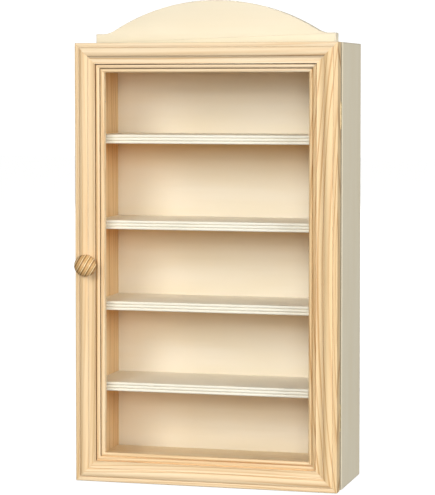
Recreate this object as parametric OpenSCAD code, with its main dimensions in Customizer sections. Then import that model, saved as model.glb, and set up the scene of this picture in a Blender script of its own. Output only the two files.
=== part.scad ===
// Wall or table display case for thimbles: five rows behind one glazed door.
// X runs to the right, Y to the back and Z up. The origin is the middle of the base.

/* [Case] */
// Width over the two sides, and of the door
case_w = 165; // [140:1:220]
// Depth from the front edge of the sides to the wall
case_d = 57; // [48:1:90]
// Thickness of the sides
side_t = 7; // [6:0.5:10]
// Thickness of the top board
top_t = 8.8; // [8:0.1:14]
// Thickness of the base board
base_t = 12.4; // [8:0.1:18]
// Depth of the housings in the sides that take the ends of the top and base boards
end_housing = 3; // [2:0.5:4]
// Thickness of the back panel
back_t = 4; // [3:0.5:6]
// Width of the rebates in the sides that take the back panel
back_rebate = 3.5; // [2.5:0.5:4.5]

/* [Rows] */
// Clear height of the bottom row
bottom_row_h = 42.7; // [32:0.1:60]
// Clear height of the two middle rows
middle_row_h = 44.75; // [32:0.05:60]
// Clear height of the two upper rows
upper_row_h = 47.4; // [32:0.1:60]
// Thickness of a shelf
shelf_t = 5.7; // [4:0.1:8]
// Depth of the housings in the sides that take the shelf ends
shelf_housing = 2; // [1:0.5:3]
// How far a shelf's front edge lies behind the front edges of the sides
shelf_setback = 1; // [0.5:0.1:3]
// Number of reeds along a shelf's front edge
reed_count = 3; // [2:1:5]
// Depth of the reeds
reed_depth = 0.6; // [0.3:0.1:0.8]

/* [Crest board] */
// Height of the middle of the crest above the case
crest_h = 26.4; // [18:0.1:36]
// Height of the square shoulders at the ends of the crest
shoulder_h = 6; // [4:0.5:9]
// Length of a shoulder's level top
shoulder_l = 4.2; // [1:0.1:6]
// Radius of the hollow between a shoulder and the arch
cove_r = 15; // [8:1:20]
// Thickness of the crest board
crest_t = 8.3; // [6:0.1:12]
// How far the crest's ends stand in from the sides' outer faces
crest_inset = 6.3; // [2:0.1:12]
// How far the crest stands behind the front edges of the sides
crest_setback = 11; // [6:0.5:16]
// Diameter of the dowels under the crest
dowel_d = 4; // [3:0.5:5]
// Length of the dowels under the crest
dowel_l = 13; // [10:0.5:14]
// Distance of each dowel from the middle
dowel_x = 45; // [30:1:55]

/* [Door] */
// Thickness of the door at the crown of its moulding
door_t = 12.3; // [11:0.1:15]
// Gap between the back of the door and the front edges of the sides
door_gap = 1.2; // [1:0.1:1.6]
// How far the door's lower edge stays above the base
door_lift = 0.4; // [0.2:0.1:2]
// Chamfer that makes a groove between the door and the case
edge_chamfer = 2.5; // [2.2:0.1:3]
// Radius of the door's outer front edge
edge_r = 0.8; // [0.4:0.1:1.2]
// Width of the fillet along the outer edge of the moulding
fillet_w = 2.6; // [2:0.1:4]
// Width of the rounded crown of the moulding
crown_w = 6; // [5:0.1:9]
// Width of the hollow inside the crown
hollow_w = 4.2; // [3:0.1:6]
// Width of each of the two small beads beside the glass
bead_w = 2.6; // [2:0.1:3.5]
// Drop from the crown to the outer fillet
fillet_drop = 1.1; // [0.8:0.1:1.5]
// Drop from the crown to the edges of the hollow
hollow_drop = 1.1; // [0.8:0.1:1.5]
// Depth of the hollow below its edges
hollow_dip = 0.45; // [0.2:0.05:0.6]
// Drop from the crown to the foot of the first small bead
bead_drop = 3; // [2.6:0.1:3.4]
// Drop from the foot of the first small bead to that of the second
bead_step = 0.8; // [0.2:0.1:1]
// Height of a small bead
bead_rise = 0.8; // [0.5:0.1:1]

/* [Glass] */
// Thickness of the glass
glass_t = 2; // [1.5:0.5:3]
// Width of the rebate that takes the glass
rebate_w = 5; // [4:0.5:6]
// Gap between the edge of the glass and the rebate
glass_gap = 0.5; // [0.3:0.1:1]
// Width of the glazing strips behind the glass
strip_w = 4; // [3:0.5:4.5]
// Thickness of the glazing strips
strip_t = 4.3; // [3:0.1:4.5]
// Radius of the rounded edge of the glazing strips
strip_r = 2; // [1:0.5:2.5]
// Diameter of the glazing pins
glazing_pin_d = 0.8; // [0.6:0.1:1.2]
// Length of the glazing pins
glazing_pin_l = 8; // [6:0.5:9]

/* [Knob] */
// Diameter of the knob
knob_d = 13.5; // [10:0.5:18]
// Distance of the knob's middle from the door's outer edge
knob_inset = 8.5; // [7.5:0.1:10]
// How far the knob's middle lies below the door's middle
knob_below = 1; // [0:0.5:20]
// Diameter of the flat that seats the knob
knob_seat_d = 6; // [5:0.5:8]
// Depth of the knob's seat below the crown of the moulding
knob_seat_drop = 1.2; // [1:0.1:1.6]
// Diameter of the knob screw
knob_screw_d = 2.4; // [2:0.1:3]
// How far the knob screw enters the knob
knob_screw_grip = 7; // [4:0.5:8]

/* [Hinges and catch] */
// Length of a hinge
hinge_l = 16; // [14:1:24]
// Distance from the door's ends to the middle of a hinge
hinge_inset = 44; // [25:1:60]
// Diameter of the hinge knuckles
knuckle_d = 2.2; // [2:0.1:2.4]
// Diameter of the hinge pins
hinge_pin_d = 1; // [0.8:0.1:1.2]
// Radial clearance of the hinge pins in the door leaves
hinge_play = 0.05; // [0.03:0.01:0.08]
// Gap between two knuckles, and between a leaf and the other's knuckles
knuckle_gap = 0.2; // [0.15:0.05:0.3]
// Gap between the two leaves of a shut hinge
leaf_gap = 0.2; // [0.15:0.05:0.3]
// Width of a leaf from the hinge pin
leaf_w = 5; // [4.2:0.1:5.5]
// Diameter of the hinge screws
hinge_screw_d = 1.2; // [1:0.1:1.4]
// Length of the hinge screws
hinge_screw_l = 6; // [4:0.5:8]
// Distance between the two screws of a leaf
hinge_screw_gap = 10; // [8:0.5:11]
// Diameter of the catch magnet
magnet_d = 3; // [2:0.5:4]
// Length of the catch magnet
magnet_l = 6; // [4:0.5:8]
// Distance of the catch below the knob
catch_drop = 36; // [20:1:50]
// Gap between the magnet and the strike plate of a shut door
catch_gap = 0.3; // [0.2:0.1:0.5]

/* [Pins and wall screws] */
// Diameter of the nails that hold the top and base boards
nail_d = 1.4; // [1:0.1:1.8]
// Length of those nails
nail_l = 18; // [14:1:25]
// Depth of their heads under the sides' outer faces
nail_sink = 0.8; // [0.5:0.1:1]
// Distance from those nails to the front edge and to the back panel
nail_inset = 12; // [8:1:20]
// Diameter of the pins that hold the back panel
panel_pin_d = 1; // [0.8:0.1:1.2]
// Length of the pins that hold the back panel
panel_pin_l = 12; // [9:0.5:14]
// Height of the V-nails in the door's mitres
v_nail_h = 6; // [4:0.5:8]
// Length of a V-nail's leg
v_nail_l = 4; // [3:0.5:4.5]
// Diameter of the holes for wall screws
wall_hole_d = 4.5; // [3:0.5:6]
// Distance between the holes for wall screws
wall_hole_gap = 100; // [60:1:110]
// Distance of the holes for wall screws under the top board
wall_hole_drop = 4.2; // [3.5:0.1:8]

/* [Hidden] */
$fn = 48;

// Colours of the pieces
pine = "#ecd0a0";
cream = "#f4ecd6";
steel = "#b8bbbd";
brass = "#c9a44f";
beech = "#d9bf95";

// Clearance of a pin, nail or screw in its hole
hole_fit = 0.05;
// Length by which a cut runs past the face it opens
past = 1;
// Number of straight steps in a moulded curve
curve_steps = 10;

// Rows are counted from the base, shelves from the top
row_h = [bottom_row_h, middle_row_h, middle_row_h, upper_row_h, upper_row_h];
row_count = len(row_h);
function heights_below(row) = row == 0 ? 0 : row_h[row - 1] + heights_below(row - 1);
function row_floor(row) = base_t + heights_below(row) + row * shelf_t;
function row_middle(row) = row_floor(row) + row_h[row] / 2;
function shelf_z(number) = row_floor(row_count - number) - shelf_t;
case_h = row_floor(row_count - 1) + row_h[row_count - 1] + top_t;
ceiling_z = case_h - top_t;

front_y = -case_d / 2;
wall_y = case_d / 2;
panel_y = wall_y - back_t;
inner_w = case_w - 2 * side_t;
shelf_front_y = front_y + shelf_setback;

// The crest's arch meets the hollow over each shoulder without a corner
crest_half_w = case_w / 2 - crest_inset;
cove_x = crest_half_w - shoulder_l;
cove_z = shoulder_h + cove_r;
cove_below_crest = cove_z - crest_h;
arch_r = (pow(cove_x, 2) + pow(cove_below_crest, 2) - pow(cove_r, 2)) / (2 * (cove_r - cove_below_crest));
arch_z = crest_h - arch_r;
cove_angle = atan2(cove_x, cove_z - arch_z);
crest_y = front_y + crest_setback;

door_w = case_w;
door_h = case_h - door_lift;
door_back_y = front_y - door_gap;
door_middle_z = door_lift + door_h / 2;
member_w = fillet_w + crown_w + hollow_w + 2 * bead_w;
rebate_x = member_w - rebate_w;
rebate_depth = glass_t + strip_t;
glass_inset = rebate_x + glass_gap;
glazing_pin_inset = 18;

knob_x = -door_w / 2 + knob_inset;
knob_z = door_middle_z - knob_below;
knob_seat_y = door_back_y - door_t + knob_seat_drop;
knob_out = sqrt(pow(knob_d / 2, 2) - pow(knob_seat_d / 2, 2));
knob_play = 0.2;
knob_screw_head_d = 2 * knob_screw_d;
knob_screw_l = door_t - knob_seat_drop + knob_screw_grip;

// The hinge axis lies level with the case side and in the middle of the door gap
hinge_x = case_w / 2 - knuckle_d / 2;
hinge_y = front_y - door_gap / 2;
leaf_t = (door_gap - leaf_gap) / 2;
hinge_screw_x = (edge_chamfer + side_t) / 2 - knuckle_d / 2;
hinge_screw_head_d = 2 * hinge_screw_d;
hinge_heights = [door_lift + hinge_inset, door_lift + door_h - hinge_inset];
knuckle_count = 3;
knuckle_l = (hinge_l - (knuckle_count - 1) * knuckle_gap) / knuckle_count;

// The catch stands in the flat of the side's front edge, between the chamfer and the inner face
catch_x = -case_w / 2 + (edge_chamfer + side_t) / 2;
catch_z = knob_z - catch_drop;
strike_d = 4;
strike_t = 0.5;
strike_spike_d = 1;
strike_spike_l = 5;
magnet_proud = door_gap - strike_t - catch_gap;

nail_head_d = 1.7 * nail_d;
nail_head_t = 1;
nail_y = [front_y + nail_inset, panel_y - nail_inset];
panel_pin_head_d = 2.4 * panel_pin_d;
panel_pin_head_t = 0.5;
panel_pin_gap = 45;
v_nail_t = 0.5;
v_nail_spread = 30;
v_nail_corner = 6;
wall_hole_z = ceiling_z - wall_hole_drop;

// Points of an arc from a to b that stands out by rise on the left of the way from a to b
function bulge(a, b, rise) =
    let (
        along = (b - a) / norm(b - a),
        out = [-along[1], along[0]] * sign(rise),
        half = norm(b - a) / 2,
        high = abs(rise),
        r = (half * half + high * high) / (2 * high),
        centre = (a + b) / 2 + out * (high - r),
        swing = asin(half / r)
    )
    [for (i = [0:curve_steps])
        let (t = swing * (2 * i / curve_steps - 1))
        centre + r * (out * cos(t) + along * sin(t))];

// Points of an arc round a centre, from one angle to another
function arc(centre, r, from, to, steps) =
    [for (i = [0:steps])
        let (t = from + (to - from) * i / steps)
        centre + r * [cos(t), sin(t)]];

// A screw or nail points along +Z, with the top of its head at z = 0
module countersunk_screw(d, head_d, l, grow = 0) {
    head_l = (head_d - d) / 2;
    point_l = d;
    cylinder(d1 = head_d + 2 * grow, d2 = d + 2 * grow, h = head_l);
    cylinder(d = d + 2 * grow, h = l - point_l);
    translate([0, 0, l - point_l])
        cylinder(d1 = d + 2 * grow, d2 = d / 3 + 2 * grow, h = point_l);
    if (grow > 0)
        translate([0, 0, -past])
            cylinder(d = head_d + 2 * grow, h = past);
}

module slotted_screw(d, head_d, l) {
    slot_w = head_d / 6;
    slot_h = head_d / 8;
    difference() {
        countersunk_screw(d, head_d, l);
        translate([-head_d / 2, -slot_w / 2, -past])
            cube([head_d, slot_w, slot_h + past]);
    }
}

module flat_nail(d, head_d, head_t, l, grow = 0) {
    cylinder(d = head_d + 2 * grow, h = head_t);
    cylinder(d = d + 2 * grow, h = l + grow);
}

module on_right() {
    mirror([1, 0, 0])
        children();
}

// Nails lie along X through the sides into the top and base boards
module carcass_nail_set(grow = 0) {
    for (turn = [0, 1], y = nail_y, z = [base_t / 2, case_h - top_t / 2])
        mirror([turn, 0, 0])
            translate([-case_w / 2 + nail_sink, y, z])
                rotate([0, 90, 0])
                    flat_nail(nail_d, nail_head_d, nail_head_t, nail_l, grow);
}

// Pins lie along Y through the back panel into the top and base boards and the sides
module panel_pin_at(x, z, grow) {
    translate([x, wall_y, z])
        rotate([90, 0, 0])
            flat_nail(panel_pin_d, panel_pin_head_d, panel_pin_head_t, panel_pin_l, grow);
}

module panel_pin_set(grow = 0) {
    side_pin_x = case_w / 2 - side_t + back_rebate / 2;
    for (x = [-1, 0, 1] * panel_pin_gap, z = [base_t / 2, case_h - top_t / 2])
        panel_pin_at(x, z, grow);
    for (x = [-side_pin_x, side_pin_x], row = [0:2:row_count - 1])
        panel_pin_at(x, row_middle(row), grow);
}

// The left side, seen from above: chamfer in front outside, rebate at the back inside
module side_board() {
    plan = [
        [edge_chamfer, 0],
        [side_t, 0],
        [side_t, case_d - back_t],
        [side_t - back_rebate, case_d - back_t],
        [side_t - back_rebate, case_d],
        [0, case_d],
        [0, edge_chamfer]
    ];
    translate([-case_w / 2, front_y, 0])
        linear_extrude(case_h)
            polygon(plan);
}

module top_board() {
    end_x = inner_w / 2 + end_housing;
    translate([-end_x, front_y, ceiling_z])
        cube([2 * end_x, case_d - back_t, top_t]);
}

module base_board() {
    end_x = inner_w / 2 + end_housing;
    translate([-end_x, front_y, 0])
        cube([2 * end_x, case_d - back_t, base_t]);
}

module shelf_housings() {
    for (number = [1:row_count - 1])
        translate([-inner_w / 2 - shelf_housing, shelf_front_y, shelf_z(number)])
            cube([inner_w + 2 * shelf_housing, panel_y - shelf_front_y, shelf_t]);
}

module left_side() {
    difference() {
        side_board();
        top_board();
        base_board();
        shelf_housings();
        carcass_nail_set(hole_fit);
        panel_pin_set(hole_fit);
    }
}

module case_side_left() {
    color(cream)
        difference() {
            left_side();
            magnet(hole_fit);
        }
}

module case_side_right() {
    color(cream)
        difference() {
            on_right()
                left_side();
            hinge_screw_set(1, hole_fit);
        }
}

module case_top() {
    color(pine)
        difference() {
            top_board();
            carcass_nail_set(hole_fit);
            panel_pin_set(hole_fit);
            dowel_set(hole_fit);
        }
}

module case_bottom() {
    color(pine)
        difference() {
            base_board();
            carcass_nail_set(hole_fit);
            panel_pin_set(hole_fit);
        }
}

module carcass_nails() {
    color(steel)
        carcass_nail_set();
}

module back_panel() {
    half_w = case_w / 2 - side_t + back_rebate;
    color(cream)
        difference() {
            translate([-half_w, panel_y, 0])
                cube([2 * half_w, back_t, case_h]);
            panel_pin_set(hole_fit);
            for (x = [-0.5, 0.5] * wall_hole_gap)
                translate([x, wall_y + past, wall_hole_z])
                    rotate([90, 0, 0])
                        cylinder(d = wall_hole_d, h = back_t + 2 * past);
        }
}

module back_panel_pins() {
    color(steel)
        panel_pin_set();
}

module dowel_set(grow = 0) {
    for (x = [-dowel_x, dowel_x])
        translate([x, crest_y + crest_t / 2, case_h - dowel_l / 2 - grow])
            cylinder(d = dowel_d + 2 * grow, h = dowel_l + 2 * grow);
}

module crest_board() {
    cove_steps = 12;
    arch_steps = 48;
    right_cove = arc([cove_x, cove_z], cove_r, -90, -90 - cove_angle, cove_steps);
    left_cove = [for (i = [cove_steps:-1:0]) [-right_cove[i][0], right_cove[i][1]]];
    arch = arc([0, arch_z], arch_r, 90 - cove_angle, 90 + cove_angle, arch_steps);
    arch_between = [for (i = [1:arch_steps - 1]) arch[i]];
    feet_right = [[crest_half_w, 0], [crest_half_w, shoulder_h]];
    feet_left = [[-crest_half_w, shoulder_h], [-crest_half_w, 0]];
    color(cream)
        difference() {
            translate([0, crest_y + crest_t, case_h])
                rotate([90, 0, 0])
                    linear_extrude(crest_t)
                        polygon(concat(feet_right, right_cove, arch_between, left_cove, feet_left));
            dowel_set(hole_fit);
        }
}

module crest_dowels() {
    color(beech)
        dowel_set();
}

// A shelf seen from its left end, with the reeds along its front edge
module shelf_board(number) {
    reed_w = shelf_t / reed_count;
    depth = panel_y - shelf_front_y;
    reeds = [for (i = [reed_count - 1:-1:0])
        each bulge([reed_depth, (i + 1) * reed_w], [reed_depth, i * reed_w], -reed_depth)];
    translate([-inner_w / 2 - shelf_housing, shelf_front_y, shelf_z(number)])
        rotate([90, 0, 90])
            linear_extrude(inner_w + 2 * shelf_housing)
                polygon(concat(reeds, [[depth, 0], [depth, shelf_t]]));
}

// A magnet or a hinge screw level with a shelf is bored through the side and the shelf's end
module shelf(number) {
    color(cream)
        difference() {
            shelf_board(number);
            magnet(hole_fit);
            hinge_screw_set(1, hole_fit);
        }
}

// One side of the door lies along +Z with its outer edge at x = 0 and its back at y = 0
module on_door(side) {
    if (side == "left")
        translate([-door_w / 2, door_back_y, door_lift])
            children();
    if (side == "right")
        mirror([1, 0, 0])
            translate([-door_w / 2, door_back_y, door_lift])
                children();
    if (side == "bottom")
        translate([door_w / 2, door_back_y, door_lift])
            rotate([0, -90, 0])
                children();
    if (side == "top")
        translate([0, 0, 2 * door_middle_z])
            mirror([0, 0, 1])
                translate([door_w / 2, door_back_y, door_lift])
                    rotate([0, -90, 0])
                        children();
}

function member_l(side) = side == "left" || side == "right" ? door_h : door_w;

// Cuts a straight length to 45 degrees at both ends
module mitred(length) {
    reach = member_w + past;
    intersection() {
        children();
        translate([0, past, 0])
            rotate([90, 0, 0])
                linear_extrude(door_t + 2 * past)
                    polygon([[0, 0], [reach, reach], [reach, length - reach], [0, length]]);
    }
}

// Section of the door's moulding: x from the outer edge to the glass, y is minus the height from the back
module moulding_section() {
    quirk = 0.2;
    fillet_y = door_t - fillet_drop;
    hollow_y = door_t - hollow_drop;
    bead_y = door_t - bead_drop;
    crown_x = fillet_w + quirk;
    hollow_x = fillet_w + crown_w;
    bead_x = hollow_x + hollow_w;
    section = concat(
        [[edge_chamfer, 0], [0, edge_chamfer]],
        arc([edge_r, fillet_y - edge_r], edge_r, 180, 90, curve_steps),
        [[fillet_w, fillet_y]],
        bulge([crown_x, hollow_y], [hollow_x - quirk, hollow_y], hollow_drop),
        bulge([hollow_x, hollow_y], [bead_x, hollow_y], -hollow_dip),
        bulge([bead_x, bead_y], [bead_x + bead_w, bead_y], bead_rise),
        bulge([bead_x + bead_w, bead_y - bead_step], [member_w, bead_y - bead_step], bead_rise),
        [[member_w, rebate_depth], [rebate_x, rebate_depth], [rebate_x, 0]]
    );
    mirror([0, 1])
        polygon(section);
}

module glazing_pin_row(side, grow = 0) {
    length = member_l(side);
    pin_count = 4;
    first = glazing_pin_inset + member_w;
    step = (length - 2 * first) / (pin_count - 1);
    for (i = [0:pin_count - 1])
        translate([rebate_x + strip_w, -strip_t / 2, first + i * step])
            rotate([0, -90, 0])
                cylinder(d = glazing_pin_d + 2 * grow, h = glazing_pin_l + grow);
}

// A V-nail straddles each mitre, with its point towards the outer corner
module v_nail_set(grow = 0) {
    for (turn = [0, 1], flip = [0, 1])
        translate([0, door_back_y, door_middle_z])
            mirror([turn, 0, 0])
                mirror([0, 0, flip])
                    translate([v_nail_corner - door_w / 2, 0, v_nail_corner - door_h / 2])
                        rotate([90, 0, 0])
                            for (swing = [-v_nail_spread, v_nail_spread])
                                rotate(45 + swing)
                                    translate([-grow, -v_nail_t / 2 - grow, 0])
                                        cube([v_nail_l + 2 * grow, v_nail_t + 2 * grow, v_nail_h + grow]);
}

module door_member(side) {
    difference() {
        on_door(side)
            mitred(member_l(side))
                linear_extrude(member_l(side))
                    moulding_section();
        on_door(side)
            glazing_pin_row(side, hole_fit);
        v_nail_set(hole_fit);
    }
}

module door_stile_left() {
    color(pine)
        difference() {
            door_member("left");
            knob_screw_at(hole_fit);
            knob_ball(knob_play);
            strike(hole_fit);
        }
}

module door_stile_right() {
    color(pine)
        difference() {
            door_member("right");
            hinge_screw_set(-1, hole_fit);
        }
}

module door_rail_top() {
    color(pine)
        door_member("top");
}

module door_rail_bottom() {
    color(pine)
        door_member("bottom");
}

module mitre_v_nails() {
    color(steel)
        v_nail_set();
}

module glass_pane() {
    pane_w = door_w - 2 * glass_inset;
    pane_h = door_h - 2 * glass_inset;
    color([0.85, 0.93, 0.9, 0.35])
        translate([-pane_w / 2, door_back_y - rebate_depth, door_middle_z - pane_h / 2])
            cube([pane_w, glass_t, pane_h]);
}

module glazing_strip(side) {
    section = concat(
        [[0, 0], [0, strip_t], [strip_w, strip_t]],
        arc([strip_w - strip_r, strip_r], strip_r, 0, -90, curve_steps)
    );
    color(pine)
        difference() {
            on_door(side)
                mitred(member_l(side))
                    linear_extrude(member_l(side))
                        translate([rebate_x, 0])
                            mirror([0, 1])
                                polygon(section);
            on_door(side)
                glazing_pin_row(side, hole_fit);
        }
}

module glazing_strip_left() {
    glazing_strip("left");
}

module glazing_strip_right() {
    glazing_strip("right");
}

module glazing_strip_top() {
    glazing_strip("top");
}

module glazing_strip_bottom() {
    glazing_strip("bottom");
}

module glazing_pins() {
    color(steel)
        for (side = ["left", "right", "top", "bottom"])
            on_door(side)
                glazing_pin_row(side);
}

// The knob screw runs from the back of the stile into the knob
module knob_screw_at(grow = 0) {
    translate([knob_x, door_back_y, knob_z])
        rotate([90, 0, 0])
            if (grow > 0)
                countersunk_screw(knob_screw_d, knob_screw_head_d, knob_screw_l, grow);
            else
                slotted_screw(knob_screw_d, knob_screw_head_d, knob_screw_l);
}

// The ball stands on a flat; grown, it is the hollow that seats it in the crown of the stile
module knob_ball(grow = 0) {
    ball_r = knob_d / 2 + grow;
    seat_angle = acos(knob_out / ball_r);
    ball = arc([0, knob_out], ball_r, -90 + seat_angle, 90, 2 * curve_steps);
    translate([knob_x, knob_seat_y, knob_z])
        rotate([90, 0, 0])
            rotate_extrude()
                polygon(concat([[0, 0]], ball));
}

module knob() {
    color(pine)
        difference() {
            knob_ball();
            knob_screw_at(hole_fit);
        }
}

module knob_screw() {
    color(steel)
        knob_screw_at();
}

// A leaf with its knuckles about the pin; toward is 1 for the case leaf and -1 for the door leaf
module hinge_leaf(toward, bore_d, own) {
    own_starts = [for (i = own) i * (knuckle_l + knuckle_gap)];
    plate_x = knuckle_d / 2 + knuckle_gap;
    screw_z = [-0.5, 0.5] * hinge_screw_gap;
    difference() {
        union() {
            mirror([1, 0, 0])
                mirror([0, toward > 0 ? 0 : 1, 0])
                    translate([plate_x, leaf_gap / 2, -hinge_l / 2])
                        cube([leaf_w - plate_x, leaf_t, hinge_l]);
            for (start = own_starts)
                translate([0, 0, start - hinge_l / 2]) {
                    cylinder(d = knuckle_d, h = knuckle_l);
                    mirror([1, 0, 0])
                        mirror([0, toward > 0 ? 0 : 1, 0])
                            translate([0, leaf_gap / 2, 0])
                                cube([plate_x + leaf_gap, leaf_t, knuckle_l]);
                }
        }
        translate([0, 0, -hinge_l / 2 - past])
            cylinder(d = bore_d, h = hinge_l + 2 * past);
        for (z = screw_z)
            translate([-hinge_screw_x, toward * leaf_gap / 2, z])
                rotate([-90 * toward, 0, 0])
                    countersunk_screw(hinge_screw_d, hinge_screw_head_d, hinge_screw_l, hole_fit);
    }
}

module at_hinge(number) {
    translate([hinge_x, hinge_y, hinge_heights[number]])
        children();
}

module case_leaf(number) {
    color(brass)
        at_hinge(number)
            hinge_leaf(1, hinge_pin_d, [0, 2]);
}

module door_leaf(number) {
    color(brass)
        at_hinge(number)
            hinge_leaf(-1, hinge_pin_d + 2 * hinge_play, [1]);
}

module hinge_pin(number) {
    head_d = 0.8 * knuckle_d;
    head_t = 0.4;
    color(brass)
        at_hinge(number) {
            translate([0, 0, -hinge_l / 2 - head_t])
                cylinder(d = hinge_pin_d, h = hinge_l + 2 * head_t);
            for (turn = [0, 1])
                mirror([0, 0, turn])
                    translate([0, 0, hinge_l / 2])
                        cylinder(d = head_d, h = head_t);
        }
}

// Screws of both hinges; toward is 1 for those in the case side and -1 for those in the door
module hinge_screw_set(toward, grow = 0) {
    for (height = hinge_heights, z = [-0.5, 0.5] * hinge_screw_gap)
        translate([hinge_x - hinge_screw_x, hinge_y + toward * leaf_gap / 2, height + z])
            rotate([-90 * toward, 0, 0])
                if (grow > 0)
                    countersunk_screw(hinge_screw_d, hinge_screw_head_d, hinge_screw_l, grow);
                else
                    slotted_screw(hinge_screw_d, hinge_screw_head_d, hinge_screw_l);
}

module hinge_screws_case() {
    color(brass)
        hinge_screw_set(1);
}

module hinge_screws_door() {
    color(brass)
        hinge_screw_set(-1);
}

module magnet(grow = 0) {
    translate([catch_x, front_y - magnet_proud, catch_z])
        rotate([-90, 0, 0])
            cylinder(d = magnet_d + 2 * grow, h = magnet_l);
}

// The strike is a steel tack in the back of the stile, opposite the magnet
module strike(grow = 0) {
    translate([catch_x, door_back_y, catch_z])
        rotate([90, 0, 0]) {
            translate([0, 0, -strike_t])
                cylinder(d = strike_d, h = strike_t);
            translate([0, 0, -strike_t / 2])
                cylinder(d = strike_spike_d + 2 * grow, h = strike_spike_l + strike_t / 2 + grow);
        }
}

module catch_magnet() {
    color(steel)
        magnet();
}

module catch_strike() {
    color(steel)
        strike();
}

case_side_left();
case_side_right();
case_top();
case_bottom();
carcass_nails();
back_panel();
back_panel_pins();
crest_board();
crest_dowels();
shelf(1);  // shelf_1
shelf(2);  // shelf_2
shelf(3);  // shelf_3
shelf(4);  // shelf_4
door_stile_left();
door_stile_right();
door_rail_top();
door_rail_bottom();
mitre_v_nails();
glass_pane();
glazing_strip_left();
glazing_strip_right();
glazing_strip_top();
glazing_strip_bottom();
glazing_pins();
knob();
knob_screw();
case_leaf(1);  // hinge_upper_case_leaf
door_leaf(1);  // hinge_upper_door_leaf
hinge_pin(1);  // hinge_upper_pin
case_leaf(0);  // hinge_lower_case_leaf
door_leaf(0);  // hinge_lower_door_leaf
hinge_pin(0);  // hinge_lower_pin
hinge_screws_case();
hinge_screws_door();
catch_magnet();
catch_strike();
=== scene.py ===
import math
from functools import partial

import bpy
import numpy as np
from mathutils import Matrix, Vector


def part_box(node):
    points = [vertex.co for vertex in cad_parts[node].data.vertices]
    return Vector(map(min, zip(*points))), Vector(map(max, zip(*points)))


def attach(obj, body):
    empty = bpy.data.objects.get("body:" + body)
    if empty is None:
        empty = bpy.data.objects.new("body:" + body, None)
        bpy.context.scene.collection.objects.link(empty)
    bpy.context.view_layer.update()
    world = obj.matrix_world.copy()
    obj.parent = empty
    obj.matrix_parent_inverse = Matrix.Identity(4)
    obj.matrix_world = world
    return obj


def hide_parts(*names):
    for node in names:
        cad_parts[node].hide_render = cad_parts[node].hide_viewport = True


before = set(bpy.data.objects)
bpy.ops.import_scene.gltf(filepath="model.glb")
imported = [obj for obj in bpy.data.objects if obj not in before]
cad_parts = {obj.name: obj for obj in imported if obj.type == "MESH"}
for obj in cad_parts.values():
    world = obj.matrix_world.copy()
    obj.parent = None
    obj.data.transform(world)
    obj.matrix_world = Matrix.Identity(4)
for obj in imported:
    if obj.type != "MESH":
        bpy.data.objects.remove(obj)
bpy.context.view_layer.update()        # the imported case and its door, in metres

# Everything below is worked out in millimetres and put into the meshes in metres
mm = 0.001


def nodeBox(node):
    low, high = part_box(node)
    return np.array(low) / mm, np.array(high) / mm


sideHigh = nodeBox("case_side_left")[1]
doorLow = nodeBox("door_stile_left")[0]
doorHigh = nodeBox("door_stile_right")[1]
panelLow, panelHigh = nodeBox("back_panel")
shelfNodes = ["shelf_4", "shelf_3", "shelf_2", "shelf_1"]
shelfBoxes = [nodeBox(n) for n in shelfNodes]
floorTop = nodeBox("case_bottom")[1][2]
ceiling = nodeBox("case_top")[0][2]
innerX = sideHigh[0]
rowFloors = [floorTop] + [high[2] for low, high in shelfBoxes]
rowCeilings = [low[2] for low, high in shelfBoxes] + [ceiling]
print("stage: frame loaded, rows at", [round(float(z), 2) for z in rowFloors])


# Camera, in front of the case and to its right, a little above its middle
cameraPlace = {
    "location": (342.1, -1267.8, 243.1),
    "yaw": 15.212,
    "down": 2.974,
    "lens": 153.15,
    "shift": -0.1,
}
cameraData = bpy.data.cameras.new("camera")
camera = bpy.data.objects.new("camera", cameraData)
bpy.context.scene.collection.objects.link(camera)
bpy.context.scene.camera = camera
camera.location = np.array(cameraPlace["location"]) * mm
camera.rotation_euler = (math.radians(90 - cameraPlace["down"]), 0, math.radians(cameraPlace["yaw"]))
cameraData.lens = cameraPlace["lens"]
cameraData.shift_y = cameraPlace["shift"]
cameraData.clip_start = 0.05
cameraData.clip_end = 50


# Shaders

def linearColour(hexColour):
    # sRGB hex to the linear values that a shader socket takes
    s = np.array([int(hexColour[i:i + 2], 16) for i in (1, 3, 5)]) / 255
    return (*np.where(s <= 0.04045, s / 12.92, ((s + 0.055) / 1.055) ** 2.4).tolist(), 1.0)


def feed(tree, node, links):
    # A link comes from a socket, or from a node's first output that is in use
    for name, source in links.items():
        if isinstance(source, bpy.types.Node):
            source = next(s for s in source.outputs if s.enabled)
        tree.links.new(source, node.inputs[name])


def addNode(tree, kind, settings=None, links=None):
    # A setting goes to the node where it has one of that name, and to its socket otherwise; hex is a colour,
    # and stops fill a ramp with places and colours or greys. A Mix node's sockets go by number: 0 is its
    # share, 2 and 3 are its numbers, and 6 and 7 its colours.
    node = tree.nodes.new("ShaderNode" + kind)
    for name, value in (settings or {}).items():
        if isinstance(value, str) and value.startswith("#"):
            value = linearColour(value)
        if name == "stops":
            elements = node.color_ramp.elements
            while len(elements) < len(value):
                elements.new(1.0)
            for element, (position, colour) in zip(elements, value):
                element.position = position
                element.color = linearColour(colour) if isinstance(colour, str) else (colour,) * 3 + (1,)
        elif isinstance(name, str) and name in node.bl_rna.properties:
            setattr(node, name, value)
        else:
            node.inputs[name].default_value = value
    feed(tree, node, links or {})
    return node


def newMaterial(name, settings):
    material = bpy.data.materials.new(name)
    material.use_nodes = True
    shader = material.node_tree.nodes["Principled BSDF"]
    for socket, value in settings.items():
        shader.inputs[socket].default_value = value
    return material, material.node_tree, shader


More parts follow.
